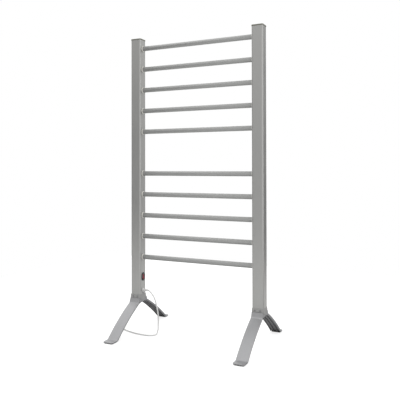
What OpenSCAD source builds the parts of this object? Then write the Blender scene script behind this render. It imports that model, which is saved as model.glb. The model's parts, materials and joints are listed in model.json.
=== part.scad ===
// Free-standing heated towel rack: ten heated rungs between two post tubes on curved legs.
// Millimetres, Z up, X along the rungs, Y from front to back.
// The origin is on the floor, midway between the four feet.

/* [Frame] */
// Width over the outer faces of the two posts
frame_w = 480; // [440:10:540]
// Width of a post, along the rungs
post_w = 37.4; // [36:0.2:40]
// Depth of a post, front to back
post_d = 34.6; // [33:0.2:37]
// Wall of a post tube
post_t = 1.6; // [1.4:0.1:1.8]
// Outer corner radius of a post tube
post_r = 4; // [3:0.5:5]
// Height of the lower end of the post tubes
post_low = 123; // [122:1:126]
// How far the posts reach above the top rung
post_over = 30; // [24:1:50]
// How far the posts stand in front of the middle of the feet
post_fwd = 1; // [0:1:6]
// Thickness of a top cap above its post
cap_t = 4; // [3:0.5:6]
// Overhang of a top cap all round
cap_lip = 1; // [0.5:0.5:2]

/* [Rungs] */
// Height of the lowest rung
rung_low = 250; // [245:5:280]
// Distance from rung to rung
rung_pitch = 72; // [60:1:80]
// Outer diameter of a rung tube
rung_d = 16; // [15:0.5:17]
// Wall of a rung tube
rung_t = 1.2; // [1:0.1:1.5]
// Outer diameter of the bush round each rung end
bush_d = 20.5; // [19.5:0.5:23]
// How far a bush stands proud of the post
bush_proud = 3.5; // [2:0.5:5]

/* [Legs] */
// Distance from the tip of a front foot to the tip of a back foot
foot_span = 370; // [358:2:384]
// Width of a leg strip
leg_w = 37; // [36.5:0.5:38]
// Thickness of the outer skin of a leg strip
leg_skin = 2.2; // [2:0.1:2.6]
// Depth of the flanges along both edges of a leg strip
leg_flange = 6; // [5.5:0.5:6.5]
// Slope of a leg strip just below its post, in degrees
leg_slope_top = 28; // [26:0.5:29]
// Length of the flat foot at the end of a front leg strip
foot_front = 28; // [24:1:32]
// Length of the flat foot at the end of a back leg strip
foot_back = 20; // [18:1:24]
// Thickness of the rubber pad under each foot
pad_t = 2; // [1.5:0.5:2.5]

/* [Switch] */
// Height of the middle of the rocker switch
switch_z = 182; // [180:1:184]
// Height of the oval switch bezel
bezel_h = 29; // [28:1:32]
// Width of the oval switch bezel
bezel_w = 19; // [18:0.5:20]
// Angle between the two positions of the rocker, in degrees
rocker_throw = 20; // [16:1:22]

/* [Cord] */
// Height at which the mains cord leaves the left post
exit_z = 136; // [136:1:138]
// Diameter of the mains cord
cord_d = 4.6; // [4.4:0.1:4.8]
// Length over the rounded ends of the tied hank
hank_l = 124; // [118:2:130]
// Width of the tied hank
hank_w = 32.4; // [32:0.2:34]
// Height of the tied hank
hank_h = 9.4; // [9.2:0.2:10]

/* [Hidden] */
$fn = 48;
gap = 0.1;
post_x = frame_w / 2 - post_w / 2;
post_y = -post_fwd;
inner_x = frame_w / 2 - post_w;
post_top = rung_low + 10 * rung_pitch + post_over;
cavity_w = post_w - 2 * post_t;
cavity_d = post_d - 2 * post_t;
cavity_r = post_r - post_t;

// Five rungs, a gap of two pitches for a folded towel, then five more; slot 0 is the top one
rung_slots = [0, 1, 2, 3, 4, 6, 7, 8, 9, 10];
function rung_z(i) = rung_low + (10 - rung_slots[i]) * rung_pitch;
rung_in = 10;
rung_end = inner_x + rung_in;

// Leg strip profile, seen along X, with the outward distance from the post's middle first
tab_y = post_d / 2 + 3.8;
tab_top = post_low - 11;
tab_slope = 68;
front_knee = post_low - 27.6;
back_knee = post_low - 22;
knee_r = 8;
arch_z = post_low - 27.4;
front_reach = foot_span / 2 - post_fwd;
back_reach = foot_span / 2 + post_fwd;
foot_top = pad_t + 3.5;
rib_w = 1.8;
rib_depth = 4.4;
rib_x = 6;
rib_start_y = 38;
tongue_w = 25;
screw_x = 8.5;
screw_z = post_low - 6;
head_seat = post_d / 2 + 0.6;
hub_screw_z = post_low + 3.4;

// Heating wire and leads inside the tubes
wire_d = 3.2;
lead_d = 2;
wire_bend = 12;
wire_out = 2;
wire_sides = 8;
riser_x = -frame_w / 2 + 5.5;
block_z = 217;
block_size = [14, 20, 20];

// Route of the mains cord from its strain relief to the hank, then from the hank to the plug.
// X is measured from the left post's inner face and Y from its middle.
relief_nose = 20;
relief_flange = 2.5;
cord_sides = 10;
cord_ring_step = 12;
cord_z = cord_d / 2 + 0.1;
cord_route = [
    [relief_flange + relief_nose, 0, exit_z], [29, 0, 131], [39, 0, 121.5],
    [47, 0, 108], [52.5, 0, 92], [57, 0, 74], [60, 0, 56], [61.5, -1, 40],
    [63.5, -5, 26], [67, -12, 14], [70, -22, 6], [73, -33, cord_z],
    [73, -45, cord_z], [65, -54, cord_z], [52, -58.5, cord_z], [36, -59.5, cord_z],
    [8, -57, cord_z], [-25, -48, cord_z], [-41, -42.5, cord_z], [-50.5, -35.5, cord_z],
    [-57.5, -26.5, cord_z]
];
hank_at = [-83, -15];
hank_turn = 115;
tie_w = 12;
tie_t = 0.6;
hank_z = 1;
hank_top = hank_z + 4.6 + cord_d / 2;

// Past the hank's near end, about its middle: the tail and the plug lie in line with it
tail_route = [
    [-55, 13.8, hank_top], [-61, 12.8, hank_top], [-66, 9, hank_top], [-71, 3.6, 8.2],
    [-76, -0.8, 8.2], [-81.5, -2.5, 8.3]
];
plug_at = [-108.5, -2.5, 8.3];

// ---- helpers ----

function unit(v) = v / norm(v);

// A point on a Catmull-Rom curve through b and c, with neighbours a and d
function curve_at(a, b, c, d, t) =
    b + 0.5 * t * (c - a + t * (2 * a - 5 * b + 4 * c - d + t * (3 * b - a - 3 * c + d)));

// A smooth path through hand-placed points, with a ring about every step millimetres
function smooth_path(p, step) = concat(
    [for (i = [0 : len(p) - 2])
        let (n = max(1, round(norm(p[i + 1] - p[i]) / step)))
        for (k = [0 : n - 1])
            curve_at(p[max(0, i - 1)], p[i], p[i + 1], p[min(len(p) - 1, i + 2)], k / n)],
    [p[len(p) - 1]]
);

function tangents(p) = [for (i = [0 : len(p) - 1])
    unit(p[min(len(p) - 1, i + 1)] - p[max(0, i - 1)])];

// One normal per ring, carried along the path so that the tube doesn't twist
function carried(t, side) = [
    for (i = 0, n = unit(side - (side * t[0]) * t[0]);
         i < len(t);
         i = i + 1, n = i < len(t) ? unit(n - (n * t[i]) * t[i]) : n) n
];

// A closed round tube swept along path, with its first face square to head
module swept(path, d, sides, side = [0, 1, 0], head = undef) {
    free = tangents(path);
    t = [for (i = [0 : len(free) - 1]) i == 0 && head != undef ? head : free[i]];
    n = carried(t, side);
    last = len(path) - 1;
    points = [for (i = [0 : last]) for (k = [0 : sides - 1])
        let (a = 360 * k / sides)
        path[i] + d / 2 * (cos(a) * n[i] + sin(a) * cross(t[i], n[i]))];
    walls = [for (i = [0 : last - 1]) for (k = [0 : sides - 1])
        let (m = (k + 1) % sides)
        [(i + 1) * sides + k, (i + 1) * sides + m, i * sides + m, i * sides + k]];
    start = [for (k = [0 : sides - 1]) k];
    end = [for (k = [sides - 1 : -1 : 0]) last * sides + k];
    polyhedron(points, concat([start], walls, [end]));
}

module rounded_rect(w, d, r) {
    square([w - 2 * r, d], center = true);
    square([w, d - 2 * r], center = true);
    for (x = [-1, 1], y = [-1, 1])
        translate([x * (w / 2 - r), y * (d / 2 - r)]) circle(r);
}

// An upright oval, tall along the sketch's Y
module oval(h, w) {
    square([w, h - w], center = true);
    for (s = [-1, 1])
        translate([0, s * (h - w) / 2]) circle(d = w);
}

// A cylinder along X that starts at x = 0
module rod_x(d, l) {
    rotate([0, 90, 0]) cylinder(d = d, h = l);
}

// Children drawn for the left post, with +X pointing from that post's middle to the rungs
module at_left() {
    translate([-post_x, post_y, 0]) children();
}

// The same children mirrored onto the right post
module at_right() {
    translate([post_x, post_y, 0]) mirror([1, 0, 0]) children();
}

// ---- posts and caps ----

module post_tube() {
    difference() {
        translate([0, 0, post_low])
            linear_extrude(post_top - post_low) rounded_rect(post_w, post_d, post_r);
        translate([0, 0, post_low - 1])
            linear_extrude(post_top - post_low + 2) rounded_rect(cavity_w, cavity_d, cavity_r);
        for (i = [0 : 9])
            translate([post_w / 2 - post_t - 1, 0, rung_z(i)]) rod_x(rung_d + 2.2, post_t + 2);
        translate([post_w / 2 - post_t - 1, 0, hub_screw_z]) rod_x(4, post_t + 2);
    }
}

module post_left() {
    color("silver") at_left() difference() {
        post_tube();
        translate([post_w / 2 - post_t - 1, 0, switch_z]) rotate([90, 0, 90])
            linear_extrude(post_t + 2) oval(bezel_h - 3, bezel_w - 3);
        translate([post_w / 2 - post_t - 1, 0, exit_z]) rod_x(8.4, post_t + 2);
    }
}

module post_right() {
    color("silver") at_right() post_tube();
}

// A moulded cap with a skirt that plugs into the post
module cap() {
    skirt_h = 12;
    skirt_t = 1.8;
    translate([0, 0, post_top]) {
        linear_extrude(cap_t)
            rounded_rect(post_w + 2 * cap_lip, post_d + 2 * cap_lip, post_r + cap_lip);
        translate([0, 0, -skirt_h]) difference() {
            linear_extrude(skirt_h + 0.5)
                rounded_rect(cavity_w - 0.2, cavity_d - 0.2, cavity_r);
            translate([0, 0, -1]) linear_extrude(skirt_h + 1)
                square([cavity_w - 2 * skirt_t, cavity_d - 2 * skirt_t], center = true);
        }
    }
}

module cap_left() { color("dimgray") at_left() cap(); }
module cap_right() { color("dimgray") at_right() cap(); }

// ---- rungs ----

module rung(i) {
    color("gainsboro") translate([-rung_end, post_y, rung_z(i)]) difference() {
        rod_x(rung_d, 2 * rung_end);
        translate([-1, 0, 0]) rod_x(rung_d - 2 * rung_t, 2 * rung_end + 2);
    }
}

// The bush that seals a rung in the post wall, with a collar that shows
module rung_bush() {
    sleeve_in = 4;
    rotate([0, 90, 0]) rotate_extrude() polygon([
        [rung_d / 2 + gap / 2, -post_t - sleeve_in], [rung_d / 2 + 1, -post_t - sleeve_in],
        [rung_d / 2 + 1, 0], [bush_d / 2, 0], [bush_d / 2, bush_proud - 1.2],
        [bush_d / 2 - 0.5, bush_proud - 0.4], [bush_d / 2 - 1.3, bush_proud],
        [rung_d / 2 + gap / 2, bush_proud]
    ]);
}

module bush_row() {
    for (i = [0 : 9])
        translate([post_w / 2, 0, rung_z(i)]) rung_bush();
}

module rung_bushes_left() { color("whitesmoke") at_left() bush_row(); }
module rung_bushes_right() { color("whitesmoke") at_right() bush_row(); }

// Rubber grommets that hold the heating wire clear of both ends of each rung
module wire_grommets() {
    grommet_l = 6;
    color("white") for (i = [0 : 9], s = [-1, 1])
        translate([s * (rung_end - 4) - grommet_l / 2, post_y, rung_z(i)]) difference() {
            rod_x(rung_d - 2 * rung_t - 0.1, grommet_l);
            translate([-1, 0, 0]) rod_x(wire_d + 0.4, grommet_l + 2);
        }
}

// ---- legs ----

// Points on a concave bend: centre c, radius r, from slope a to slope b below level
function bend_in(c, r, a, b, n) =
    [for (k = [0 : n]) let (s = a + (b - a) * k / n) c + r * [-sin(s), -cos(s)]];

// Points on a convex curve that starts at p and turns from slope a to slope b
function bend_out(p, r, a, b, n) =
    [for (k = [1 : n]) let (s = a + (b - a) * k / n)
        p + r * [sin(s) - sin(a), cos(s) - cos(a)]];

// Outward distance, at height z, of the strip's steep upper end at a depth below its skin
function steep_y(depth, z) = tab_y + (tab_top - z) / tan(tab_slope) - depth / sin(tab_slope);

// The leg's line at a depth below its outer skin: steep, through a knee, then one long arc
// that ends at foot_y
function leg_line(depth, foot_y, knee_z) =
    let (
        a = leg_slope_top,
        knee = [steep_y(0, knee_z), knee_z],
        along = knee_r * tan((tab_slope - a) / 2),
        c = knee + along * [-cos(tab_slope), sin(tab_slope)]
            + knee_r * [sin(tab_slope), cos(tab_slope)],
        v = [foot_y, foot_top] - c - knee_r * [-sin(a), -cos(a)],
        turn = atan2(-v[1], v[0]) - a,
        start = c + (knee_r + depth) * [-sin(a), -cos(a)]
    )
    concat([[steep_y(depth, tab_top), tab_top]], bend_in(c, knee_r + depth, tab_slope, a, 6),
        bend_out(start, norm(v) / (2 * sin(turn)) - depth, a, a + 2 * turn, 14));

function reversed(p) = [for (i = [len(p) - 1 : -1 : 0]) p[i]];

// A band between the outer skin and a line below it, as a closed outline
function leg_band(depth, foot_y, knee_z) =
    concat(leg_line(0, foot_y, knee_z), reversed(leg_line(depth, foot_y, knee_z)));

// Stands a sketch of outward distance and height up, w wide along X
module across(w, x = 0) {
    translate([x - w / 2, 0, 0]) rotate([90, 0, 90]) linear_extrude(w) children();
}

module above_pad() {
    translate([0, pad_t]) square([400, 300]);
}

// Rounded shoulder of the hub's side: half an ellipse below the strips' upper ends
function shoulder(a, b, n) = [for (k = [0 : n])
    let (s = 90 * k / n) [max(0.15, a * cos(s)), tab_top - 3 - b * sin(s)]];

// The arch under the hub: from point k on a flange's lower edge to the middle, raised by lift
function arch(k, lift, n) =
    let (m = [k[0] - (arch_z - k[1]) / tan(leg_slope_top), arch_z], e = [0.15, arch_z])
    [for (i = [1 : n]) let (t = i / n)
        (1 - t) * (1 - t) * k + 2 * t * (1 - t) * m + t * t * e + [0, lift]];

// Side view of one edge flange; the front and the back one nearly meet under the hub
function flange_side(foot_y, knee_z) =
    let (line = leg_line(leg_flange, foot_y, knee_z))
    concat(
        leg_line(0, foot_y, knee_z),
        [for (i = [len(line) - 1 : -1 : 7]) line[i]],
        arch(line[7], 0, 6),
        reversed(shoulder(post_d / 2 + 0.3, 6.8, 8)),
        [[post_d / 2 + 0.3, tab_top]]
    );

// The strip's tongue behind the hub's lip, or the slot that takes it
function tongue(slack) = [
    [steep_y(2 - slack, tab_top - 7), tab_top - 7],
    [steep_y(2 - slack, tab_top - 0.2 + slack), tab_top - 0.2 + slack],
    [steep_y(2.6 - slack, tab_top - 0.2 + slack), tab_top - 0.2 + slack],
    [steep_y(2.6 - slack, tab_top + 9.2 + slack), tab_top + 9.2 + slack],
    [steep_y(4.6 + slack, tab_top + 9.2 + slack), tab_top + 9.2 + slack],
    [steep_y(4.6 + slack, tab_top - 7 - slack), tab_top - 7 - slack]
];

// One extruded strip with edge flanges, two inner ribs and a flat foot, reaching along +Y
module leg_strip(reach, foot_len, knee_z) {
    foot_y = reach - foot_len;
    foot_x0 = foot_y - leg_flange;
    corner = 8;
    difference() {
        union() {
            across(leg_w) intersection() {
                polygon(leg_band(leg_skin, foot_y, knee_z));
                above_pad();
            }
            for (s = [-1, 1])
                across(2, s * (leg_w / 2 - 1)) intersection() {
                    polygon(flange_side(foot_y, knee_z));
                    above_pad();
                }
            for (s = [-1, 1])
                across(rib_w, s * rib_x) intersection() {
                    polygon(leg_band(rib_depth, foot_y, knee_z));
                    translate([rib_start_y, pad_t]) square([300, 200]);
                }
            across(tongue_w) polygon(tongue(0));
            translate([0, 0, pad_t]) linear_extrude(foot_top - pad_t) {
                translate([-leg_w / 2, foot_x0]) square([leg_w, reach - corner - foot_x0]);
                translate([corner - leg_w / 2, foot_x0])
                    square([leg_w - 2 * corner, reach - foot_x0]);
                for (s = [-1, 1])
                    translate([s * (leg_w / 2 - corner), reach - corner]) circle(corner);
            }
        }
        for (s = [-1, 1])
            translate([s * screw_x, post_d / 2, screw_z]) rotate([90, 0, 0])
                cylinder(d = 4.4, h = 10);
    }
}

module leg_front() { mirror([0, 1, 0]) leg_strip(front_reach, foot_front, front_knee); }
module leg_back() { leg_strip(back_reach, foot_back, back_knee); }

module leg_front_left() { color("lightgray") at_left() leg_front(); }
module leg_back_left() { color("lightgray") at_left() leg_back(); }
module leg_front_right() { color("lightgray") at_right() leg_front(); }
module leg_back_right() { color("lightgray") at_right() leg_back(); }

// A rubber pad under one flat foot
module foot_pad(reach, foot_len) {
    pad_w = leg_w - 5;
    pad_r = 5;
    translate([0, reach - foot_len / 2 - 3, 0]) linear_extrude(pad_t - gap / 2)
        rounded_rect(pad_w, foot_len, pad_r);
}

module pad_front() { mirror([0, 1, 0]) foot_pad(front_reach, foot_front); }

module foot_pad_front_left() { color("black") at_left() pad_front(); }
module foot_pad_back_left() { color("black") at_left() foot_pad(back_reach, foot_back); }
module foot_pad_front_right() { color("black") at_right() pad_front(); }
module foot_pad_back_right() { color("black") at_right() foot_pad(back_reach, foot_back); }

// Half of the hub's side: flush with the post, flared at its lower lip, rounded underneath
function hub_flush() = concat(
    [[post_d / 2, post_low - gap], [tab_y - 0.3, tab_top + 0.3], [post_d / 2, tab_top + 0.3]],
    shoulder(post_d / 2, 6.5, 8)
);

// Half of the part between the flanges, which fills the space behind the skin
function hub_between(foot_y, knee_z) =
    let (
        skin = leg_line(leg_skin + 0.2, foot_y, knee_z),
        flange = leg_line(leg_flange, foot_y, knee_z)
    )
    concat([[post_d / 2, post_low - gap], skin[0], skin[1], skin[2], skin[3]],
        arch(flange[7] + [-1.5, 1.5], 1.2, 6));

function both_ways(front, back) = concat(back, [for (p = reversed(front)) [-p[0], p[1]]]);

// The moulded hub that plugs into a post and carries its two leg strips
module leg_hub() {
    plug_top = post_low + 6.4;
    difference() {
        union() {
            across(post_w) polygon(both_ways(hub_flush(), hub_flush()));
            across(leg_w - 4.6) polygon(both_ways(
                hub_between(front_reach - foot_front, front_knee),
                hub_between(back_reach - foot_back, back_knee)));
            translate([0, 0, post_low - 2]) linear_extrude(plug_top - post_low + 2)
                rounded_rect(cavity_w - 0.3, cavity_d - 0.3, cavity_r);
            translate([-cavity_w / 2 + 0.2, -cavity_d / 2 + 3, plug_top - 1])
                cube([5, cavity_d - 6, 26]);
        }
        for (sy = [0, 1])
            mirror([0, sy, 0]) {
                across(tongue_w + 0.6) polygon(tongue(0.2));
                for (sx = [-1, 1]) {
                    translate([sx * screw_x, head_seat, screw_z]) rotate([-90, 0, 0])
                        cylinder(d = 6.6, h = 6);
                    translate([sx * screw_x, head_seat + 1, screw_z]) rotate([90, 0, 0])
                        cylinder(d = 3.6, h = 12);
                }
            }
        translate([post_w / 2 - 12, 0, hub_screw_z]) rod_x(3.2, 14);
    }
}

module leg_hub_left() { color("darkgray") at_left() leg_hub(); }
module leg_hub_right() { color("darkgray") at_right() leg_hub(); }

// A low-headed screw whose head sits on z = 0 and whose shank points down
module screw(head_d, head_h, shank_d, shank_l) {
    difference() {
        union() {
            cylinder(d = head_d, h = head_h * 0.55);
            translate([0, 0, head_h * 0.55])
                cylinder(d1 = head_d, d2 = head_d * 0.72, h = head_h * 0.45);
            translate([0, 0, -shank_l]) cylinder(d = shank_d, h = shank_l + 0.1);
        }
        for (a = [0, 90])
            rotate(a) translate([0, 0, head_h]) cube([head_d * 0.55, 0.8, head_h], center = true);
    }
}

module hub_leg_screws() {
    for (sx = [-1, 1], sy = [-1, 1])
        translate([sx * screw_x, sy * (head_seat + gap), screw_z])
            rotate([-sy * 90, 0, 0]) screw(6, 1.5, 3.4, 10);
}

module leg_screws() {
    color("gray") {
        at_left() hub_leg_screws();
        at_right() hub_leg_screws();
    }
}

module hub_screw() {
    translate([post_w / 2 + gap, 0, hub_screw_z]) rotate([0, 90, 0]) screw(5.8, 1.6, 3, 11);
}

module hub_screws() {
    color("gray") {
        at_left() hub_screw();
        at_right() hub_screw();
    }
}

// ---- rocker switch: drawn about its pivot, with +X out of the post ----

pivot_in = 1.6;
rocker_r = 8.1;
rocker_w = 10.8;
rocker_gap = 0.7;
pin_d = 1.6;
housing_h = bezel_h - 3.6;
housing_w = bezel_w - 3.6;
housing_in = 17;

module at_switch() {
    translate([-inner_x, post_y, switch_z]) children();
}

// Stands a sketch of Y and Z up, facing +X, from x0 to x0 + l
module facing(x0, l) {
    translate([x0, 0, 0]) rotate([90, 0, 90]) linear_extrude(l) children();
}

module rocker_window() {
    square([rocker_w + rocker_gap, 2 * rocker_r + rocker_gap], center = true);
}

module switch_bezel() {
    color("black") at_switch() difference() {
        union() {
            facing(gap / 2, 1.4) oval(bezel_h, bezel_w);
            facing(1.4, 0.8) oval(bezel_h - 1.6, bezel_w - 1.6);
        }
        facing(-1, 5) rocker_window();
    }
}

module switch_housing() {
    wall = 1.6;
    color("black") at_switch() difference() {
        facing(-housing_in, housing_in) oval(housing_h, housing_w);
        facing(-housing_in + wall + 6, housing_in) rocker_window();
        translate([-pivot_in, housing_w / 2 + 1, 0]) rotate([90, 0, 0])
            cylinder(d = pin_d, h = housing_w + 2);
        for (z = [-6, 6])
            translate([-housing_in - 1, -2.5, z - 0.5]) cube([2.6, 5, 1]);
    }
}

// Side view of the rocker about its pivot: two flats that meet in a shallow valley, round ends
module rocker_side() {
    valley = 2.9;
    crown = 4;
    back = -3.4;
    difference() {
        intersection() {
            circle(rocker_r, $fn = 96);
            polygon([
                [back, -9], [crown, -9], [valley, 0], [crown, 9], [back, 9]
            ]);
        }
        circle(d = pin_d + 0.6);
    }
}

module rocker() {
    color("firebrick") at_switch() translate([-pivot_in, rocker_w / 2, 0])
        rotate([0, -rocker_throw / 2, 0]) rotate([90, 0, 0])
            linear_extrude(rocker_w) rocker_side();
}

module rocker_pin() {
    color("silver") at_switch() translate([-pivot_in, housing_w / 2 - 0.4, 0])
        rotate([90, 0, 0]) cylinder(d = pin_d, h = housing_w - 0.8);
}

// The sprung contact strip on the housing's floor
module switch_contact() {
    color("goldenrod") at_switch() translate([-housing_in + 7.8, -2, -5])
        cube([0.6, 4, 10]);
}

module switch_terminals() {
    color("goldenrod") at_switch() for (z = [-6, 6])
        translate([-housing_in - 7, -2.4, z - 0.4]) cube([8.5, 4.8, 0.8]);
}

// ---- wiring inside the tubes ----

// The end of one pass and the turn to the next, on side s, between heights from and to
function turn_points(s, from, to) =
    let (
        x0 = s * (rung_end + wire_out), x1 = s * (rung_end + wire_out + wire_bend),
        q = [for (k = [0 : 3]) 30 * k]
    )
    concat(
        [for (a = q) [x0 + s * wire_bend * sin(a), post_y, from - wire_bend * (1 - cos(a))]],
        [for (a = q) [x1 - s * wire_bend * (1 - cos(a)), post_y, to + wire_bend * (1 - sin(a))]]
    );

// One wire that passes through all ten rungs in turn
module heating_wire() {
    passes = [for (i = [0 : 8]) turn_points(i % 2 == 0 ? 1 : -1, rung_z(i), rung_z(i + 1))];
    path = concat(
        [[-rung_end - wire_out, post_y, rung_z(0)]],
        [for (p = passes) for (q = p) q],
        [[-rung_end - wire_out, post_y, rung_z(9)]]
    );
    color("tomato") swept(path, wire_d, wire_sides);
}

// The lead from the top rung down to the terminal block
module riser_wire() {
    top = rung_z(0);
    path = [
        [-rung_end - wire_out - 0.2, post_y, top], [-rung_end - 9, post_y, top],
        [riser_x + 6, post_y, top - 2], [riser_x + 1, post_y, top - 8],
        [riser_x, post_y, top - 16], [riser_x, post_y, block_z + block_size[2] / 2 + 0.2]
    ];
    color("tomato") swept(path, lead_d, wire_sides);
}

module thermal_cutoff() {
    color("beige") translate([riser_x, post_y, rung_z(8)]) difference() {
        union() {
            cylinder(d = 4.4, h = 22);
            translate([0, 0, 4]) cylinder(d = 5.6, h = 14);
        }
        translate([0, 0, -1]) cylinder(d = lead_d + 0.3, h = 24);
    }
}

module terminal_block() {
    color("ivory") translate([-frame_w / 2 + post_t + block_size[0] / 2 + 0.4, post_y, block_z])
        difference() {
            cube(block_size, center = true);
            for (y = [-5, 5])
                translate([block_size[0] / 2 - 4, y, 0])
                    rotate([0, 90, 0]) cylinder(d = 4, h = 5);
        }
}

// Leads from the cord and the switch, as hand-placed runs about the left post's middle
module lead_live() {
    p = [[9, -2, 137], [8, -4, 145], [1, -4, 158], [-7, -2, 168], [-7, 0, 175]];
    color("saddlebrown") at_left() swept(smooth_path(p, 5), lead_d, wire_sides);
}

module lead_switched() {
    p = [[-7, 0, 189], [-7, 0, 195], [-6, 2, 201], [-6, 3, 206.4]];
    color("saddlebrown") at_left() swept(smooth_path(p, 5), lead_d, wire_sides);
}

module lead_neutral() {
    p = [
        [9, 2, 137], [8, 5, 145], [6, 10, 156], [4, 11, 176], [0, 11, 192],
        [-2, 8, 200], [-2, 7.5, 206.4]
    ];
    color("steelblue") at_left() swept(smooth_path(p, 6), lead_d, wire_sides);
}

// ---- cord ----

module strain_relief() {
    color("white") translate([-inner_x, post_y, exit_z]) rotate([0, 90, 0]) {
        translate([0, 0, -post_t - 5]) cylinder(d = 8, h = post_t + 5 + 0.5);
        translate([0, 0, gap / 2]) cylinder(d = 12.4, h = relief_flange - gap / 2);
        translate([0, 0, relief_flange - 0.1])
            cylinder(d1 = 9, d2 = cord_d + 1.2, h = relief_nose + 0.1);
    }
}

module relief_nut() {
    color("white") translate([-inner_x - post_t - 3.4, post_y, exit_z])
        difference() {
            rod_x(12, 3.2);
            translate([-1, 0, 0]) rod_x(8.1, 6);
        }
}

module at_cord() {
    translate([-inner_x, post_y, 0]) children();
}

module cord() {
    color("white") at_cord()
        swept(smooth_path(cord_route, cord_ring_step), cord_d, cord_sides, head = [1, 0, 0]);
}

module at_hank() {
    at_cord() translate([hank_at[0], hank_at[1], 0]) rotate(hank_turn) children();
}

// The outer shape of the folded and tied length
module cord_hank() {
    color("white") at_hank() translate([0, 0, hank_z])
        linear_extrude(hank_h) rotate(90) oval(hank_l, hank_w);
}

module cord_tie() {
    color("white") at_hank() translate([0, 0, hank_z + hank_h / 2]) rotate([90, 0, 90])
        linear_extrude(tie_w, center = true) difference() {
            rounded_rect(hank_w + 0.2 + 2 * tie_t, hank_h + 0.2 + 2 * tie_t, 1.5);
            square([hank_w + 0.2, hank_h + 0.2], center = true);
        }
}

module cord_tail() {
    color("white") at_hank()
        swept(smooth_path(tail_route, cord_ring_step), cord_d, cord_sides, [0, 0, 1]);
}

module at_plug() {
    at_hank() translate(plug_at) rotate(180) children();
}

// A generic two-blade plug lying on its flat side, with its blades along +X
module plug_body() {
    blade_x = 13;
    color("white") at_plug() difference() {
        union() {
            translate([-9, 0, 0]) rotate([0, 90, 0]) linear_extrude(22) rounded_rect(16, 22, 5);
            translate([-27, 0, 0]) rotate([0, 90, 0]) cylinder(d1 = cord_d + 1.4, d2 = 9, h = 18.5);
        }
        for (y = [-6.35, 6.35])
            translate([blade_x - 2, y, 0]) cube([8.2, 1.7, 6.5], center = true);
    }
}

module plug_blades() {
    color("silver") at_plug() for (y = [-6.35, 6.35])
        translate([18, y, 0]) cube([22, 1.5, 6.3], center = true);
}

// ---- one line per node ----

post_left();
post_right();
cap_left();
cap_right();
rung(0);  // rung_01
rung(1);  // rung_02
rung(2);  // rung_03
rung(3);  // rung_04
rung(4);  // rung_05
rung(5);  // rung_06
rung(6);  // rung_07
rung(7);  // rung_08
rung(8);  // rung_09
rung(9);  // rung_10
rung_bushes_left();
rung_bushes_right();
wire_grommets();
leg_hub_left();
leg_hub_right();
leg_front_left();
leg_back_left();
leg_front_right();
leg_back_right();
foot_pad_front_left();
foot_pad_back_left();
foot_pad_front_right();
foot_pad_back_right();
leg_screws();
hub_screws();
switch_bezel();
switch_housing();
rocker();
rocker_pin();
switch_contact();
switch_terminals();
heating_wire();
riser_wire();
thermal_cutoff();
terminal_block();
lead_live();
lead_switched();
lead_neutral();
strain_relief();
relief_nut();
cord();
cord_hank();
cord_tie();
cord_tail();
plug_body();
plug_blades();
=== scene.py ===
import bpy, bmesh, json, math
from mathutils import Matrix, Vector


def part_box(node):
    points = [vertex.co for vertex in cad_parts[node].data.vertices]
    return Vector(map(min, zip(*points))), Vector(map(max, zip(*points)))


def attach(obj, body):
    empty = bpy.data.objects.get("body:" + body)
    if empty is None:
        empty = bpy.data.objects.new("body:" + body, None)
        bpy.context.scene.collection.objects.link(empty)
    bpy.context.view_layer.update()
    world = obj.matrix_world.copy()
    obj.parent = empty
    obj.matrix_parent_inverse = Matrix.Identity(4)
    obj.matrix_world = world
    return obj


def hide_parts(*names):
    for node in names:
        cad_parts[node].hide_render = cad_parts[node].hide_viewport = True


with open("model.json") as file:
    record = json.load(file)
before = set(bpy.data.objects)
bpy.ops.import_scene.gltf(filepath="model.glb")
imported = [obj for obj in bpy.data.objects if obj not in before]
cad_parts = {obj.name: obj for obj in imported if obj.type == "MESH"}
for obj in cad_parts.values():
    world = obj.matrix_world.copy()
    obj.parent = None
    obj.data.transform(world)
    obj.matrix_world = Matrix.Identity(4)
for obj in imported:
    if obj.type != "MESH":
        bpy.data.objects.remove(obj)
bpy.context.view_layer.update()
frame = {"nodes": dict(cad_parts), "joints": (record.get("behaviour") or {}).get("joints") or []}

scene = bpy.context.scene
scene.view_settings.view_transform = "Standard"


# ---------------------------------------------------------------- camera
def camera_turn(yaw, rise, roll):
    """The camera's rotation, from degrees to the left, upward and about its own axis."""
    turn = Matrix.Rotation(math.radians(yaw), 3, "Z") @ \
        Matrix.Rotation(math.radians(90 + rise), 3, "X") @ \
        Matrix.Rotation(math.radians(-roll), 3, "Z")
    return turn.to_euler()


cam_data = bpy.data.cameras.new("camera")
cam = bpy.data.objects.new("camera", cam_data)
scene.collection.objects.link(cam)
cam_data.sensor_width = 36.0
cam_data.lens = 48.42
cam_data.shift_y = -0.0972
cam_data.clip_start = 0.05
cam_data.clip_end = 30
cam.location = (0.7783, -1.5986, 0.5595)
cam.rotation_euler = camera_turn(25.50, 0.636, 0.1036)
scene.camera = cam


# ---------------------------------------------------------------- places, from the CAD
def middle(node):
    """The middle of a CAD node's box."""
    lo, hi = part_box(node)
    return (Vector(lo) + Vector(hi)) / 2


def mm(x, y, z):
    """A point given in millimetres."""
    return Vector((x, y, z)) * 0.001


def box_mm(node):
    """Both corners of a CAD node's box, in millimetres."""
    return [Vector(v) * 1000 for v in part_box(node)]


# post_w, post_d, post_low and post_top are in millimetres
post_lo, post_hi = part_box("post_left")
inner_x = post_hi[0]
post_y = (post_lo[1] + post_hi[1]) / 2
POST = {"left": middle("post_left").x, "right": middle("post_right").x}
TOWARD = {"left": 1, "right": -1}
RUNGS = range(1, 11)
post_w = (post_hi[0] - post_lo[0]) * 1000
post_d = (post_hi[1] - post_lo[1]) * 1000
post_low = post_lo[2] * 1000
post_top = post_hi[2] * 1000


# ---------------------------------------------------------------- helpers
def sin(a):
    """The sine of an angle in degrees."""
    return math.sin(math.radians(a))


def cos(a):
    """The cosine of an angle in degrees."""
    return math.cos(math.radians(a))


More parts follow.
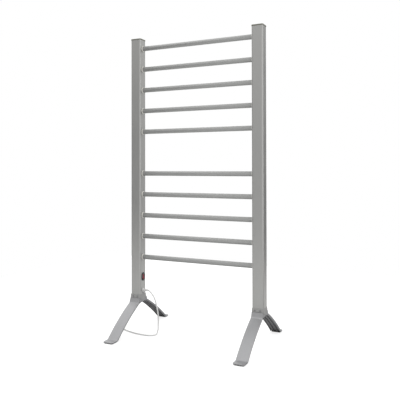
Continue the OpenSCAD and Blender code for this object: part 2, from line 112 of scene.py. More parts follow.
def link(obj, body="rack"):
    """Puts an object in the scene, riding on a body."""
    scene.collection.objects.link(obj)
    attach(obj, body)


def catmull(points, step):
    """A smooth line through points, with a point about every step."""
    pts = [Vector(p) for p in points]
    out = []
    for i in range(len(pts) - 1):
        a, b = pts[max(0, i - 1)], pts[i]
        c, d = pts[i + 1], pts[min(len(pts) - 1, i + 2)]
        n = max(1, round((c - b).length / step))
        for k in range(n):
            t = k / n
            out.append(b + 0.5 * t * (c - a + t * (2 * a - 5 * b + 4 * c - d
                       + t * (3 * b - a - 3 * c + d))))
    out.append(pts[-1])
    return out


def resampled(points, step):
    """The same line with evenly spaced points."""
    pts = [Vector(p) for p in points]
    run = [0.0]
    for a, b in zip(pts, pts[1:]):
        run.append(run[-1] + (b - a).length)
    n = max(2, round(run[-1] / step))
    out, j = [], 0
    for k in range(n + 1):
        s = run[-1] * k / n
        while j < len(pts) - 2 and run[j + 1] < s:
            j += 1
        f = (s - run[j]) / max(1e-9, run[j + 1] - run[j])
        out.append(pts[j].lerp(pts[j + 1], min(1, max(0, f))))
    return out


# Edges sharper than this many degrees are shaded sharp
SHARP = 38


def piece(name, bm, slot, nodes, body="rack"):
    """Turns a bmesh into a smooth-shaded piece that stands for some CAD nodes."""
    bmesh.ops.remove_doubles(bm, verts=bm.verts, dist=1e-6)
    bmesh.ops.recalc_face_normals(bm, faces=bm.faces)
    me = bpy.data.meshes.new(name)
    bm.to_mesh(me)
    bm.free()
    me.materials.append(MATS[slot])
    for p in me.polygons:
        p.use_smooth = True
    me.set_sharp_from_angle(angle=math.radians(SHARP))
    obj = bpy.data.objects.new(name, me)
    link(obj, body)
    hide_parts(*nodes)


def band(bm, a, b):
    """Quads between two closed rings of vertices."""
    n = len(a)
    for k in range(n):
        bm.faces.new((a[k], a[(k + 1) % n], b[(k + 1) % n], b[k]))


def loft(bm, rings):
    """A skin over rings of the same number of points, with flat caps."""
    vs = [[bm.verts.new(p) for p in ring] for ring in rings]
    for a, b in zip(vs, vs[1:]):
        band(bm, a, b)
    bm.faces.new(list(reversed(vs[0])))
    bm.faces.new(vs[-1])


def ring_of(bm, rings):
    """A skin over rings whose last joins the first, as in a lathed tube."""
    vs = [[bm.verts.new(p) for p in ring] for ring in rings]
    for a, b in zip(vs, vs[1:] + vs[:1]):
        band(bm, a, b)


def rounded(w, h, r, n=6):
    """A rounded rectangle about the origin, in order, with n steps round each corner."""
    out = []
    for cx, cy, start in ((1, 1, 0), (-1, 1, 90), (-1, -1, 180), (1, -1, 270)):
        for k in range(n + 1):
            a = start + 90 * k / n
            out.append((cx * (w / 2 - r) + r * cos(a), cy * (h / 2 - r) + r * sin(a)))
    return out


def turned_x(profile, origin, n=40, sign=1):
    """Rings of n points about an axis along X through origin; profile holds (along, radius)
    in millimetres, with along measured towards sign."""
    turns = [2 * math.pi * k / n for k in range(n)]
    return [[Vector(origin) + mm(sign * x, r * math.cos(a), r * math.sin(a)) for a in turns]
            for x, r in profile]


# ---------------------------------------------------------------- materials
def shader(name, colour, rough, metallic=0.0, specular=0.5):
    """A material with plain settings, its node tree and its shader node."""
    m = bpy.data.materials.new(name)
    m.use_nodes = True
    bsdf = m.node_tree.nodes["Principled BSDF"]
    bsdf.inputs["Base Color"].default_value = (*colour, 1)
    bsdf.inputs["Roughness"].default_value = rough
    bsdf.inputs["Metallic"].default_value = metallic
    bsdf.inputs["Specular IOR Level"].default_value = specular
    return m, m.node_tree, bsdf


def noise(nt, scale, stretch, detail, rough):
    """Noise fixed to the object, with its scale stretched along the axes."""
    coord = nt.nodes.new("ShaderNodeTexCoord")
    mapping = nt.nodes.new("ShaderNodeMapping")
    mapping.inputs["Scale"].default_value = stretch
    tex = nt.nodes.new("ShaderNodeTexNoise")
    tex.inputs["Scale"].default_value = scale
    tex.inputs["Detail"].default_value = detail
    tex.inputs["Roughness"].default_value = rough
    nt.links.new(coord.outputs["Object"], mapping.inputs["Vector"])
    nt.links.new(mapping.outputs["Vector"], tex.inputs["Vector"])
    return tex.outputs["Fac"]


def remap(nt, fac, lo, hi, from_lo=0.3, from_hi=0.7, smooth=False):
    """Maps from_lo to from_hi onto lo to hi, clamped."""
    node = nt.nodes.new("ShaderNodeMapRange")
    if smooth:
        node.interpolation_type = "SMOOTHSTEP"
    node.inputs["From Min"].default_value = from_lo
    node.inputs["From Max"].default_value = from_hi
    node.inputs["To Min"].default_value = lo
    node.inputs["To Max"].default_value = hi
    nt.links.new(fac, node.inputs["Value"])
    return node.outputs["Result"]


def arith(nt, op, *values):
    """One Math node; each value is an output."""
    node = nt.nodes.new("ShaderNodeMath")
    node.operation = op
    for value, socket in zip(values, node.inputs):
        nt.links.new(value, socket)
    return node.outputs["Value"]


def axes(nt, vector):
    """The X, Y and Z outputs of a vector output."""
    node = nt.nodes.new("ShaderNodeSeparateXYZ")
    nt.links.new(vector, node.inputs["Vector"])
    return node.outputs


def seen_or(nt, seen, fac, socket):
    """Feeds a socket a plain number on camera rays and fac on all others."""
    path = nt.nodes.new("ShaderNodeLightPath")
    pick = nt.nodes.new("ShaderNodeMix")
    pick.data_type = "FLOAT"
    nt.links.new(path.outputs["Is Camera Ray"], pick.inputs["Factor"])
    nt.links.new(fac, pick.inputs["A"])
    pick.inputs["B"].default_value = seen
    nt.links.new(pick.outputs["Result"], socket)


def tinted(nt, fac, dark, light):
    """A ramp between two colours over the middle of a noise's range."""
    ramp = nt.nodes.new("ShaderNodeValToRGB")
    ramp.color_ramp.elements[0].position = 0.3
    ramp.color_ramp.elements[0].color = (*dark, 1)
    ramp.color_ramp.elements[1].position = 0.7
    ramp.color_ramp.elements[1].color = (*light, 1)
    nt.links.new(fac, ramp.inputs["Fac"])
    return ramp.outputs["Color"]


def mixed(nt, fac, a, b):
    """Blends a colour output towards a plain colour."""
    mix = nt.nodes.new("ShaderNodeMix")
    mix.data_type = "RGBA"
    nt.links.new(fac, mix.inputs["Factor"])
    nt.links.new(a, mix.inputs["A"])
    mix.inputs["B"].default_value = (*b, 1)
    return mix.outputs["Result"]


def bumped(nt, bsdf, height, strength, distance):
    """Gives a shader node fine relief from a height output."""
    bump = nt.nodes.new("ShaderNodeBump")
    bump.inputs["Strength"].default_value = strength
    bump.inputs["Distance"].default_value = distance
    nt.links.new(height, bump.inputs["Height"])
    nt.links.new(bump.outputs["Normal"], bsdf.inputs["Normal"])


def edges(nt):
    """0 on flat surfaces, rising to 0.55 on outer edges."""
    geo = nt.nodes.new("ShaderNodeNewGeometry")
    return remap(nt, geo.outputs["Pointiness"], 0.0, 0.55, 0.52, 0.62)


def shade(colour, k):
    """The colour made k times as bright."""
    return tuple(min(1.0, c * k) for c in colour)


def anodised(name, colour, rough, stretch, metallic=0.86, grain=0.05, painted_edge_shade=None, scale=420):
    """Satin metal: fine lines along the axis with the smallest scale, faint clouding, and
    edges paler from wear, unless an edge colour is given, which paints shade on them."""
    m, nt, bsdf = shader(name, colour, rough, metallic)
    lines = noise(nt, scale, stretch, 3.0, 0.6)
    cloud = noise(nt, 9, (1, 1, 1), 3.0, 0.5)
    base = tinted(nt, lines, shade(colour, 1 - grain), shade(colour, 1 + grain))
    hazy = mixed(nt, remap(nt, cloud, 0.0, 0.5), base, shade(colour, 0.955))
    # Pointed edges blend to a paler colour for wear; a given edge colour there is painted shade
    # instead
    edge_wear_and_shade = mixed(nt, edges(nt), hazy, painted_edge_shade or shade(colour, 1.18))
    nt.links.new(edge_wear_and_shade, bsdf.inputs["Base Color"])
    both = arith(nt, "ADD", remap(nt, lines, rough - 0.05, rough + 0.05),
                 remap(nt, cloud, -0.02, 0.03))
    nt.links.new(both, bsdf.inputs["Roughness"])
    bumped(nt, bsdf, lines, 0.10, 0.00004)
    return m


def moulded(name, colour, rough, scale=900, bump=0.12, depth=0.00006, vary=0.05, edge_wear_and_shade=None):
    """Moulded plastic or rubber: fine texture, slight colour drift and paler edges."""
    m, nt, bsdf = shader(name, colour, rough)
    fine = noise(nt, scale, (1, 1, 1), 2.0, 0.5)
    drift = noise(nt, 22, (1, 1, 1), 3.0, 0.5)
    base = tinted(nt, drift, shade(colour, 1 - vary), shade(colour, 1 + vary))
    nt.links.new(mixed(nt, edges(nt), base, edge_wear_and_shade or shade(colour, 1.15)),
                 bsdf.inputs["Base Color"])
    nt.links.new(remap(nt, fine, rough - 0.05, rough + 0.06), bsdf.inputs["Roughness"])
    bumped(nt, bsdf, fine, bump, depth)
    return m


MATS = {
    "post": anodised("post_anodised", (0.390, 0.390, 0.380), 0.38, (1, 1, 0.012), grain=0.025,
                     scale=1500),
    "rung": anodised("rung_anodised", (0.365, 0.368, 0.362), 0.50, (0.012, 1, 1), 0.55, 0.03,
                     scale=1200),
    # The leg's dark edge colour is painted shade along its rounded rims and flanges
    "leg": anodised("leg_anodised", (0.360, 0.360, 0.368), 0.46, (1, 0.03, 0.03),
                    painted_edge_shade=(0.20, 0.20, 0.205)),
    "hub": anodised("hub_cast", (0.335, 0.335, 0.330), 0.48, (1, 1, 1), 0.6, 0.04),
    "cap": moulded("cap_moulded", (0.155, 0.155, 0.125), 0.52, 700, 0.25),
    "bush": moulded("bush_moulded", (0.66, 0.65, 0.61), 0.42, 800, 0.10),
    "grommet": moulded("grommet_silicone", (0.78, 0.78, 0.74), 0.45),
    "pad": moulded("pad_rubber", (0.028, 0.028, 0.028), 0.75, 500, 0.4, 0.0002, 0.15,
                   edge_wear_and_shade=(0.06, 0.06, 0.06)),
    "steel": anodised("screw_steel", (0.34, 0.34, 0.345), 0.38, (1, 1, 1), 0.9, 0.08),
    "switch_black": moulded("switch_black", (0.016, 0.016, 0.016), 0.28, 1200, 0.06,
                            edge_wear_and_shade=(0.05, 0.05, 0.05)),
    "switch_red": moulded("switch_red", (0.20, 0.008, 0.024), 0.25, 1200, 0.05),
    "contact": anodised("contact_brass", (0.72, 0.55, 0.27), 0.32, (1, 1, 1), 0.9, 0.06),
    "wire": moulded("wire_silicone", (0.62, 0.13, 0.07), 0.45),
    "block": moulded("block_moulded", (0.76, 0.73, 0.64), 0.5),
    "lead_brown": moulded("lead_brown", (0.17, 0.07, 0.03), 0.4),
    "lead_blue": moulded("lead_blue", (0.05, 0.14, 0.42), 0.4),
    "cord_white": moulded("cord_white", (0.72, 0.72, 0.71), 0.42, 600, 0.10),
    "tie": moulded("tie_strap", (0.58, 0.58, 0.57), 0.5, 400, 0.3, 0.0001),
}
for node in frame["nodes"].values():
    for material_slot in node.material_slots:
        material_slot.material = MATS[material_slot.material.name]

# ---------------------------------------------------------------- cord
CORD_D = 0.0046
lo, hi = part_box("strain_relief")
exit_z = (lo[2] + hi[2]) / 2

# The route to the hank: millimetres from the left post's inner face, its middle and the floor
ROUTE = [
    (22.5, 0, exit_z * 1000), (29, 0, 131), (39, 0, 121.5), (47, 0, 108), (52.5, 0, 92),
    (57, 0, 74), (60, 0, 56), (61.5, -1, 40), (63.5, -5, 26), (67, -12, 14), (70, -22, 6),
    (73, -33, 2.6), (73, -45, 2.4), (65, -54, 2.4), (52, -58.5, 2.4), (36, -59.5, 2.4),
    (8, -57, 2.4), (-25, -48, 2.4), (-40, -42.5, 2.6),
]
# The hank's middle, from the same origin, and the direction of its length from +X in degrees
HANK_AT = (-83, -15)
HANK_TURN = 115
# Half its straight length, half its outer and inner loops' widths, and its layers' heights
HANK_HALF = 45.9
HANK_OUT, HANK_IN = 13.8, 9.2
LAYER_LOW, LAYER_HIGH = 3.3, 7.95
hank_u = Vector((cos(HANK_TURN), sin(HANK_TURN), 0))
hank_v = Vector((-hank_u.y, hank_u.x, 0))
hank_o = Vector((inner_x + HANK_AT[0] / 1000, post_y + HANK_AT[1] / 1000, 0))


def in_hank(u, v, z):
    """A point given in millimetres along, across and above the floor at the hank."""
    return hank_o + hank_u * (u / 1000) + hank_v * (v / 1000) + Vector((0, 0, z / 1000))


def hank_points():
    """Four turns of a long loop in two layers: outer, inner, inner above, outer above."""
    half = HANK_HALF
    plan = [(HANK_OUT, LAYER_LOW), (HANK_IN, LAYER_LOW), (HANK_IN, LAYER_HIGH),
            (HANK_OUT, LAYER_HIGH)]
    # The first turn is joined part of the way along
    start = -26
    pts = []
    for k, (w, z) in enumerate(plan):
        # Along one side, round the far end and back along the other side
        for u in (start, -10, 6, 22, half - 8):
            pts.append((u, -w, z))
        for a in range(0, 180, 18):
            pts.append((half + w * sin(a), -w * cos(a), z))
        for u in (half, 28, 10, -10, -28):
            pts.append((u, w, z))
        # Round the near end, easing into the next turn
        start = -half
        for w_next, z_next in plan[k + 1:k + 2]:
            for a in range(0, 180, 18):
                f = a / 180
                ease = f * f * (3 - 2 * f)
                w_now, z_now = w + (w_next - w) * ease, z + (z_next - z) * ease
                pts.append((-half - w_now * sin(a), w_now * cos(a), z_now))
    pts.append((-half, HANK_OUT, LAYER_HIGH))
    return [in_hank(*p) for p in pts]


# From the last turn to the plug, in the hank's own millimetres
TAIL = [(-55, HANK_OUT, LAYER_HIGH), (-61, 12.8, LAYER_HIGH), (-66, 9, 8.0), (-71, 3.6, 8.2),
        (-76, -0.8, 8.2), (-81.5, -2.5, 8.3)]

lead_in = [Vector((inner_x + x / 1000, post_y + y / 1000, z / 1000)) for x, y, z in ROUTE]
tail = [in_hank(*p) for p in TAIL]
line = resampled(catmull(lead_in + hank_points() + tail, 0.003), 0.0045)

curve = bpy.data.curves.new("cord_line", "CURVE")
curve.dimensions = "3D"
curve.bevel_depth = CORD_D / 2
curve.bevel_resolution = 5
curve.use_fill_caps = True
spline = curve.splines.new("POLY")
spline.points.add(len(line) - 1)
for p, q in zip(spline.points, line):
    p.co = (*q, 1)
curve.materials.append(MATS["cord_white"])
cord = bpy.data.objects.new("mains_cord", curve)
link(cord)
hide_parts("cord", "cord_hank", "cord_tail")

# ---------------------------------------------------------------- strain relief, plug
# A flange on the post, then seven ribs along a nose that tapers from NOSE_R to TIP_R
NOSE, NOSE_R, TIP_R = 20.0, 4.5, 2.9
bm = bmesh.new()
profile = [(-0.2, 6.2), (1.6, 6.2), (2.2, 5.9), (2.5, 5.3), (2.6, 4.7)]
for k in range(7):
    x = 3.0 + k * 2.5
    r = NOSE_R + (TIP_R - NOSE_R) * (x - 2.5) / NOSE
    profile += [(x, r), (x + 1.3, r - 0.1), (x + 1.55, r - 0.75), (x + 2.25, r - 0.8)]
profile += [(21.6, TIP_R + 0.1), (22.3, TIP_R - 0.15), (22.5, TIP_R - 0.5)]
loft(bm, turned_x(profile, (inner_x, post_y, exit_z), 36))
piece("cord_relief", bm, "cord_white", ["strain_relief"])

# The plug's middle, in the hank's own millimetres
PLUG_MID = (-108.5, -2.5, 8.3)


def plug_ring(x, w, h, r):
    """A ring of the plug, x from its middle towards the blades, which point away from the hank."""
    return [in_hank(PLUG_MID[0] - x, PLUG_MID[1] - y, PLUG_MID[2] + z)
            for y, z in rounded(w, h, r, 5)]


bm = bmesh.new()
rings = []
# Six ribs, which grow towards the plug
for k in range(6):
    x = -27 + k * 2.9
    d = 6.2 + k * 0.55
    rings += [plug_ring(x, d, d, d / 2 - 0.02), plug_ring(x + 1.6, d, d, d / 2 - 0.02),
              plug_ring(x + 1.9, d - 1.2, d - 1.2, d / 2 - 0.65),
              plug_ring(x + 2.6, d - 1.2, d - 1.2, d / 2 - 0.65)]
# Shoulder, grip and front rim: along, width, height, corner radius
for x, w, h, r in ((-9.4, 13, 11, 4.4), (-8.6, 18, 13.6, 5), (-6.5, 20.6, 15.2, 5),
                   (-3, 21.9, 15.8, 5), (3, 20.8, 14.9, 5), (8, 20.8, 14.9, 5),
                   (9.5, 21.8, 15.8, 5), (12.2, 21.8, 15.8, 5), (12.8, 21.2, 15.2, 4.7),
                   (13, 20.2, 14.2, 4.3)):
    rings.append(plug_ring(x, w, h, r))
loft(bm, rings)
piece("plug_shell", bm, "cord_white", ["plug_body"])

# ---------------------------------------------------------------- caps
for side in ("left", "right"):
    lo, hi = box_mm("cap_" + side)
    w, d = hi.x - lo.x, hi.y - lo.y
    mid = (lo + hi) / 2
    bm = bmesh.new()
    rings = []
    # How far each ring stands in from the box's sides, and its height
    for inset, z in ((1.4, post_top - 0.3), (0.25, post_top + 0.05), (0, post_top + 0.35),
                     (0, hi.z - 1.1), (0.3, hi.z - 0.45), (0.9, hi.z - 0.1), (1.8, hi.z),
                     (6, hi.z)):
        r = max(1.0, 5 - inset * 0.6)
        rings.append([mm(mid.x + x, mid.y + y, z)
                      for x, y in rounded(w - 2 * inset, d - 2 * inset, r, 8)])
    loft(bm, rings)
    piece("top_cap_" + side, bm, "cap", ["cap_" + side])

# ---------------------------------------------------------------- rungs and their bushes
for i in RUNGS:
    name = "rung_%02d" % i
    lo, hi = box_mm(name)
    half, r = (hi.x - lo.x) / 2, (hi.z - lo.z) / 2
    mid = (lo + hi) / 2
    # A tube with a 1.2 mm wall and rounded ends
    profile = [(-half, r - 1.2), (-half, r - 0.15), (-half + 0.2, r), (half - 0.2, r),
               (half, r - 0.15), (half, r - 1.2)]
    bm = bmesh.new()
    ring_of(bm, turned_x(profile, mm(*mid), 48))
    piece("tube_%02d" % i, bm, "rung", [name])

# How far a bush stands out of the post, its radius and the radius of its bore
lo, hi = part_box("rung_bushes_left")
bush_x = (hi[0] - inner_x) * 1000
bush_r = (hi[1] - lo[1]) * 500
lo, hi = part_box("rung_01")
bore_r = (hi[2] - lo[2]) * 500 + 0.05
for side in ("left", "right"):
    bm = bmesh.new()
    s = TOWARD[side]
    for i in RUNGS:
        mid = middle("rung_%02d" % i)
        # A sleeve inside the post's wall and a rounded collar outside it
        profile = [(-5.4, bore_r), (-5.4, bore_r + 0.8), (0.0, bore_r + 0.9),
                   (0.05, bush_r - 0.25), (0.3, bush_r), (bush_x - 1.5, bush_r),
                   (bush_x - 0.8, bush_r - 0.25), (bush_x - 0.3, bush_r - 0.7),
                   (bush_x, bush_r - 1.3), (bush_x, bore_r + 0.35), (bush_x - 0.3, bore_r)]
        face = Vector((POST[side] + s * post_w / 2000, mid.y, mid.z))
        ring_of(bm, turned_x(profile, face, 40, s))
    piece("bushes_" + side, bm, "bush", ["rung_bushes_" + side])

# ---------------------------------------------------------------- leg strips
# Places are millimetres outward from the post's middle or up from the floor, and slopes are
# degrees. A strip has a steep tab, a knee, a long arc, a fillet and a flat toe
lo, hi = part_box("leg_front_left")
LEG_W = (hi[0] - lo[0]) * 1000 + 0.8
PAD_T = lo[2] * 1000
TAB_Y = post_d / 2 + 3.8
TAB_TOP = post_low - 11
TAB_SLOPE = 68.0
TAB_STEPS = (0.04, 0.08, 0.35, 0.7)
KNEE = {"front": post_low - 27.6, "back": post_low - 22}
KNEE_R = 13.0
KNEE_STEPS = 8
SLOPE_TOP = 28.0
ARC_STEPS = 30
FILLET = 9.0
FOOT_TOP = PAD_T + 3.5
FOOT_LEN = {"front": 28.0, "back": 20.0}
CORNER = 8.0
REACH = {"front": (post_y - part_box("leg_front_left")[0][1]) * 1000,
         "back": (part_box("leg_back_left")[1][1] - post_y) * 1000}
ARCH_Z = post_low - 27.4
# The skin's thickness, the edge flanges' depth on the tab and beyond it, and the inner ribs'
SKIN = 1.7
FLANGE_TAB, FLANGE_GAIN = 3.7, 2.3
FLANGE = FLANGE_TAB + FLANGE_GAIN
RIB = 4.0
RIB_FROM, RIB_RAMP = 33, 5


def leg_stations(end):
    """(outward distance, height, slope) down one strip's outer skin, from its top to its tip."""
    a = SLOPE_TOP
    knee = (TAB_Y + (TAB_TOP - KNEE[end]) / math.tan(math.radians(TAB_SLOPE)), KNEE[end])
    along = KNEE_R * math.tan(math.radians((TAB_SLOPE - a) / 2))
    cx = knee[0] - along * cos(TAB_SLOPE) + KNEE_R * sin(TAB_SLOPE)
    cz = knee[1] + along * sin(TAB_SLOPE) + KNEE_R * cos(TAB_SLOPE)
    out = [(TAB_Y + t * (cx - KNEE_R * sin(TAB_SLOPE) - TAB_Y),
            TAB_TOP + t * (cz - KNEE_R * cos(TAB_SLOPE) - TAB_TOP), TAB_SLOPE)
           for t in TAB_STEPS]
    for k in range(KNEE_STEPS + 1):
        s = TAB_SLOPE + (a - TAB_SLOPE) * k / KNEE_STEPS
        out.append((cx - KNEE_R * sin(s), cz - KNEE_R * cos(s), s))
    # The long arc, up to where the fillet into the toe begins
    y0, z0 = out[-1][:2]
    fy = REACH[end] - FOOT_LEN[end]
    mean = math.degrees(math.atan2(z0 - FOOT_TOP, fy - y0))
    turn = mean - a
    r = math.hypot(fy - y0, z0 - FOOT_TOP) / (2 * sin(turn))
    e = a + 2 * turn
    cut = FILLET * math.tan(math.radians(e / 2))
    for k in range(1, ARC_STEPS):
        s = a + 2 * turn * k / ARC_STEPS
        y, z = y0 + r * (sin(s) - sin(a)), z0 + r * (cos(s) - cos(a))
        if math.hypot(fy - y, z - FOOT_TOP) > cut + 1.5:
            out.append((y, z, s))
    cy, cz = fy + cut, FOOT_TOP + FILLET
    for k in range(9):
        s = e * (1 - k / 8)
        out.append((cy - FILLET * sin(s), cz - FILLET * cos(s), s))
    out.append((cy + 3, FOOT_TOP, 0.0))
    for short in (8, 6.8, 5.2, 3.6, 2.3, 1.3, 0.6, 0.15):
        out.append((REACH[end] - short, FOOT_TOP, 0.0))
    return out


def strip_section(hw, skin, f, rib):
    """Half of the strip's section as (x, depth), from the middle of the skin round to its
    underside: rounded edge, flange with a draft, one inner rib."""
    k = 0.25 * max(0.0, f - 1.2)
    rib = max(rib, skin + 0.12)
    return [
        (0, 0), (6, 0), (12, 0), (hw - 1.0, 0), (hw - 0.5, 0.08), (hw - 0.15, 0.28), (hw, 0.7),
        (hw - k * 0.5, 0.6 + f * 0.5), (hw - k, f - 0.55), (hw - k - 0.18, f - 0.16),
        (hw - k - 0.6, f), (hw - k - 1.3, f), (hw - k - 1.7, f - 0.16), (hw - k - 1.85, f - 0.5),
        (hw - 2.3, skin + 0.7), (hw - 2.6, skin + 0.18), (hw - 3.2, skin),
        (7.9, skin), (7.35, skin + 0.06), (7.2, rib - 0.05), (6.8, rib), (5.2, rib),
        (4.8, rib - 0.05), (4.65, skin + 0.06), (4.1, skin), (0, skin)
    ]


def strip_mesh(bm, end, place):
    """One channel swept from the tab to the tip of the toe, whose corners are round. place
    turns (across, outward, up) in millimetres into a point."""
    rings = []
    for i, (y, z, s) in enumerate(leg_stations(end)):
        hw = LEG_W / 2
        d = REACH[end] - y
        if d < CORNER:
            hw = LEG_W / 2 - CORNER + math.sqrt(max(0.2, CORNER ** 2 - (CORNER - d) ** 2))
        depth_room = (z - PAD_T) / max(0.2, cos(s))
        rise = min(1.0, max(0.0, (y - TAB_Y - 2) / 9))
        f = min(FLANGE_TAB + FLANGE_GAIN * rise, depth_room)
        ramp = min(1, max(0, (y - RIB_FROM) / RIB_RAMP))
        rib = min(SKIN + 0.12 + RIB * ramp, depth_room)
        half = strip_section(hw, min(SKIN, f - 0.9), f, rib)
        # The first ring's outer face is set back, which softens the tab's top edge
        top_soft = 0.5 if i == 0 else 0.0
        ring = []
        squeeze = hw / (LEG_W / 2)
        for x, dep in half:
            xx = x if x > hw - 4 else x * squeeze
            ring.append((min(xx, hw), dep + top_soft * (dep < 0.6)))
        ring += [(-x, dep) for x, dep in reversed(ring[1:-1])]
        rings.append([place(x, y - dep * sin(s), z - dep * cos(s)) for x, dep in ring])
    loft(bm, rings)


def web_mesh(bm, end, place):
    """The two plates under the hub that carry the edge flanges round into the arch."""
    knee = leg_stations(end)[len(TAB_STEPS) + KNEE_STEPS]
    k = (knee[0] - FLANGE * sin(knee[2]), knee[1] - FLANGE * cos(knee[2]))
    m = (k[0] - (ARCH_Z - k[1]) / math.tan(math.radians(SLOPE_TOP)), ARCH_Z)
    n = 12
    # low is the arch's line, from the post's middle to the knee; top is the edge above it,
    # which the hub hides
    low, top = [], []
    for i in range(n + 1):
        t = i / n
        low.append((t * t * k[0] + 2 * t * (1 - t) * m[0] + (1 - t) ** 2 * 0.15,
                    t * t * k[1] + (1 - t * t) * ARCH_Z))
        a = 90 * (1 - t)
        top.append((max(0.15, (post_d / 2 + 0.3) * cos(a)), TAB_TOP - 3 - 6.8 * sin(a)))
    low[-1] = (low[-1][0] + 0.6, low[-1][1] + 0.2)
    out_y = TAB_Y + 4.6
    for s in (-1, 1):
        hw = LEG_W / 2
        rows = []
        # The share of the way down from top to low, and the place across the strip
        for f, x in ((0.0, hw - 0.35), (0.06, hw - 0.06), (0.14, hw - 0.03), (0.5, hw - 0.35),
                     (0.92, hw - 1.5), (0.97, hw - 1.62), (1.0, hw - 1.95)):
            row = []
            for i in range(n + 1):
                t = i / n
                ty, tz = top[i]
                ty += (out_y - ty) * max(0, (t - 0.5) * 2) ** 2
                tz += (KNEE[end] + 4 - tz) * max(0, (t - 0.5) * 2) ** 2
                ly, lz = low[i]
                row.append((x, ty + (ly - ty) * f, tz + (lz - tz) * f))
            rows.append(row)
        # The plate's inner side
        rows += [[(hw - 3.6, y, z) for _, y, z in row] for row in (rows[-1], rows[0])]
        verts = [[bm.verts.new(place(s * x, y, z)) for x, y, z in row] for row in rows]
        for a, b in zip(verts, verts[1:] + verts[:1]):
            for i in range(n):
                bm.faces.new((a[i], a[i + 1], b[i + 1], b[i]))
        bm.faces.new([row[0] for row in verts])
        bm.faces.new([row[-1] for row in verts])


def cheek_mesh(bm, end, place):
    """The upper plates beside the tab, flush with the hub's flank."""
    hw = LEG_W / 2
    y0 = post_d / 2 + 0.3
    outline = [(y0, TAB_TOP - 0.9), (TAB_Y - 0.5, TAB_TOP - 0.9), (TAB_Y + 3.2, KNEE[end] + 7),
               (TAB_Y + 4.4, KNEE[end] + 3.5), (TAB_Y + 2, KNEE[end] + 0.5),
               (y0 - 3, TAB_TOP - 9.4), (y0 - 1.2, TAB_TOP - 6.4), (y0 - 0.1, TAB_TOP - 3.6)]
    for s in (-1, 1):
        loft(bm, [[place(s * x, y, z) for y, z in outline] for x in (hw - 2.2, hw - 0.12)])


for side in ("left", "right"):
    for end in ("front", "back"):
        sy = -1 if end == "front" else 1

        def place(x, y, z, px=POST[side], sy=sy):
            return Vector((px + x / 1000, post_y + sy * y / 1000, z / 1000))

        bm = bmesh.new()
        strip_mesh(bm, end, place)
        web_mesh(bm, end, place)
        cheek_mesh(bm, end, place)
        which = "%s_%s" % (end, side)
        piece("strip_" + which, bm, "leg", ["leg_" + which])

        lo, hi = box_mm("foot_pad_" + which)
        mid = (lo + hi) / 2
        w, d = hi.x - lo.x, hi.y - lo.y
        bm = bmesh.new()
        rings = []
        for inset, z in ((1.4, lo.z), (0.5, lo.z + 0.15), (0, lo.z + 0.6), (0, hi.z - 0.3),
                         (0.3, hi.z)):
            rings.append([mm(mid.x + x, mid.y + y, z)
                          for x, y in rounded(w - 2 * inset, d - 2 * inset, 5 - inset / 2)])
        loft(bm, rings)
        piece("pad_" + which, bm, "pad", ["foot_pad_" + which])

# ---------------------------------------------------------------- switch
lo, hi = box_mm("switch_bezel")
sw_mid = (lo + hi) / 2
bez_w, bez_h = hi.y - lo.y, hi.z - lo.z
WINDOW_W, WINDOW_H = 11.5, 16.9
AROUND = 72


def oval_at(angle, w, h):
    """The point of an upright oval (a stadium) seen at an angle from its middle."""
    dy, dz = math.cos(angle), math.sin(angle)
    r, straight = w / 2, (h - w) / 2
    if abs(dz) * r <= straight * abs(dy):
        t = r / abs(dy)
    else:
        c = straight if dz >= 0 else -straight
        b = dz * c
        t = b + math.sqrt(b * b - c * c + r * r)
    return dy * t, dz * t


def window_at(angle, w, h):
    """The point of a rectangle seen at an angle from its middle."""
    dy, dz = math.cos(angle), math.sin(angle)
    t = min(w / 2 / max(1e-6, abs(dy)), h / 2 / max(1e-6, abs(dz)))
    return dy * t, dz * t


# Even angles, with four of them moved onto the window's corners
angles = [2 * math.pi * k / AROUND for k in range(AROUND)]
corner = math.atan2(WINDOW_H / 2, WINDOW_W / 2)
for c in (corner, math.pi - corner, math.pi + corner, 2 * math.pi - corner):
    k = min(range(AROUND), key=lambda i: abs(angles[i] - c))
    angles[k] = c
bm = bmesh.new()
rings = []
face = inner_x * 1000
# The rim's outside, then its window, with how far each ring stands out of the post
for inset, x in ((0, 0.05), (0, 0.7), (0.15, 1.25), (0.6, 1.75), (1.2, 2.05), (1.9, 2.2)):
    rings.append([oval_at(a, bez_w - 2 * inset, bez_h - 2 * inset) + (x,) for a in angles])
for outset, x in ((0.5, 2.2), (0.15, 2.1), (0, 1.8), (0, 0.05)):
    rings.append([window_at(a, WINDOW_W + 2 * outset, WINDOW_H + 2 * outset) + (x,)
                  for a in angles])
ring_of(bm, [[mm(face + x, sw_mid.y + y, sw_mid.z + z) for y, z, x in ring] for ring in rings])
piece("bezel_ring", bm, "switch_black", ["switch_bezel"])

# The rocker about its pivot: outline in (outward, up), tilted to its rest place
throw = frame["joints"][0]["range_deg"][1]
tilt = math.radians(-throw / 2)
PIVOT = (face - 1.6, sw_mid.y, sw_mid.z)
ROCKER_R, ROCKER_W = 8.1, 10.8
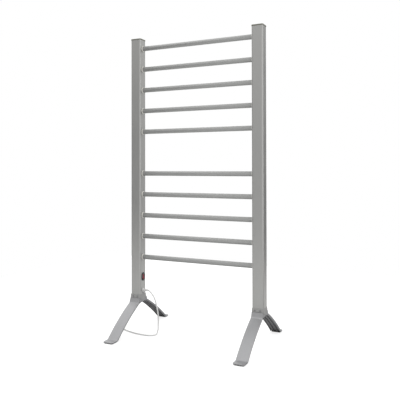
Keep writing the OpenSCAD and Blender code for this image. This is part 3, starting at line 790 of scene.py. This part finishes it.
# The back plane, the crown's ends and the valley between them, outward from the pivot
BACK, CROWN, VALLEY = -3.3, 3.9, 2.9
crown_low = -math.sqrt(ROCKER_R ** 2 - CROWN ** 2)
half = [(BACK, -math.sqrt(ROCKER_R ** 2 - BACK ** 2))]
for k in range(13):
    a = math.radians(-90 + 60 * k / 12)
    if ROCKER_R * math.cos(a) <= CROWN:
        half.append((ROCKER_R * math.cos(a), ROCKER_R * math.sin(a)))
for k in range(9):
    z = crown_low * (1 - k / 8)
    half.append((VALLEY + (CROWN - VALLEY) * (z / crown_low) ** 1.6, z))
outline = half + [(x, -z) for x, z in reversed(half[:-1])]
bm = bmesh.new()
rings = []
for inset, y in ((0.45, -ROCKER_W / 2), (0.12, -ROCKER_W / 2 + 0.15), (0, -ROCKER_W / 2 + 0.5),
                 (0, 0), (0, ROCKER_W / 2 - 0.5), (0.12, ROCKER_W / 2 - 0.15),
                 (0.45, ROCKER_W / 2)):
    ring = []
    for x, z in outline:
        # Smaller towards the rocker's sides, which rounds its edges
        k = 1 - inset / 8
        x, z = x * k - 0.1 * inset, z * k
        # The same turn about Y as the CAD rocker has at rest
        rx = x * math.cos(tilt) + z * math.sin(tilt)
        rz = -x * math.sin(tilt) + z * math.cos(tilt)
        ring.append(mm(PIVOT[0] + rx, PIVOT[1] + y, PIVOT[2] + rz))
    rings.append(ring)
loft(bm, rings)
piece("rocker_cap", bm, "switch_red", ["rocker"], body="rocker")

# ---------------------------------------------------------------- stage
floor = bpy.data.meshes.new("floor")
floor.from_pydata([(-1.3, -1.3, 0), (1.3, -1.3, 0), (1.3, 1.3, 0), (-1.3, 1.3, 0)], [],
                  [(0, 1, 2, 3)])
floor_obj = bpy.data.objects.new("floor", floor)
scene.collection.objects.link(floor_obj)
floor_mat, nt, bsdf = shader("floor", (0.4, 0.4, 0.4), 0.9, 0.0, 0.2)
bsdf.inputs["Emission Color"].default_value = (1, 1, 1, 1)
# The floor glows, pale on camera rays. On all others its glow is painted shade and light: dim
# under the rack as a painted shadow, brighter in front of it and behind it, and dimmer again to
# its far right
where = axes(nt, nt.nodes.new("ShaderNodeNewGeometry").outputs["Position"])
glow = remap(nt, arith(nt, "ABSOLUTE", where["Y"]), 0.13, 0.62, 0.12, 0.55, smooth=True)
fade = remap(nt, where["X"], 1.0, 0.25, 0.33, 0.60)
seen_or(nt, 0.75, arith(nt, "MULTIPLY", glow, fade), bsdf.inputs["Emission Strength"])
floor.materials.append(floor_mat)

world = bpy.data.worlds.new("world")
scene.world = world
world.use_nodes = True
nt = world.node_tree
sky = nt.nodes["Background"]
sky.inputs["Color"].default_value = (1, 1, 1, 1)
toward = axes(nt, nt.nodes.new("ShaderNodeTexCoord").outputs["Generated"])


def sky_map(axis, lo, hi, from_lo, from_hi):
    """A smooth ramp over the sky along one axis of the direction."""
    return remap(nt, toward[axis], lo, hi, from_lo, from_hi, smooth=True)


# White on camera rays. On all others it is dim low down and bright overhead. In front of the
# rack a glow lies low down and to the right, with shade above it. Behind the rack there are
# glows to the left and to the far right, with shade between them
up = sky_map("Z", 0.34, 1.20, -0.05, 0.65)
ahead = arith(nt, "MULTIPLY", sky_map("Y", 0.0, 1.0, 0.2, -0.2),
              sky_map("Z", 1.0, -0.8, 0.15, 0.55))
ahead_glow = sky_map("X", -0.16, 0.60, -0.60, -0.05)
behind = sky_map("Y", 0.0, 1.0, -0.2, 0.2)
behind_glow = arith(nt, "ADD", sky_map("X", -0.36, 0.75, 0.36, 0.66),
                    sky_map("X", 0.0, 0.75, 0.05, -0.35))
total = arith(nt, "ADD", arith(nt, "ADD", up, arith(nt, "MULTIPLY", ahead, ahead_glow)),
              arith(nt, "MULTIPLY", behind, behind_glow))
seen_or(nt, 1.0, total, sky.inputs["Strength"])

# One soft light above the rack's front
key_light = bpy.data.lights.new("key", "AREA")
key_light.shape = "RECTANGLE"
key_light.size = 1.8
key_light.size_y = 1.8
key_light.energy = 10
key = bpy.data.objects.new("key", key_light)
scene.collection.objects.link(key)
key.location = (-0.2, -0.9, 3.0)
aim = Vector((0, 0, 0.5)) - key.location
key.rotation_euler = aim.to_track_quat("-Z", "Y").to_euler()
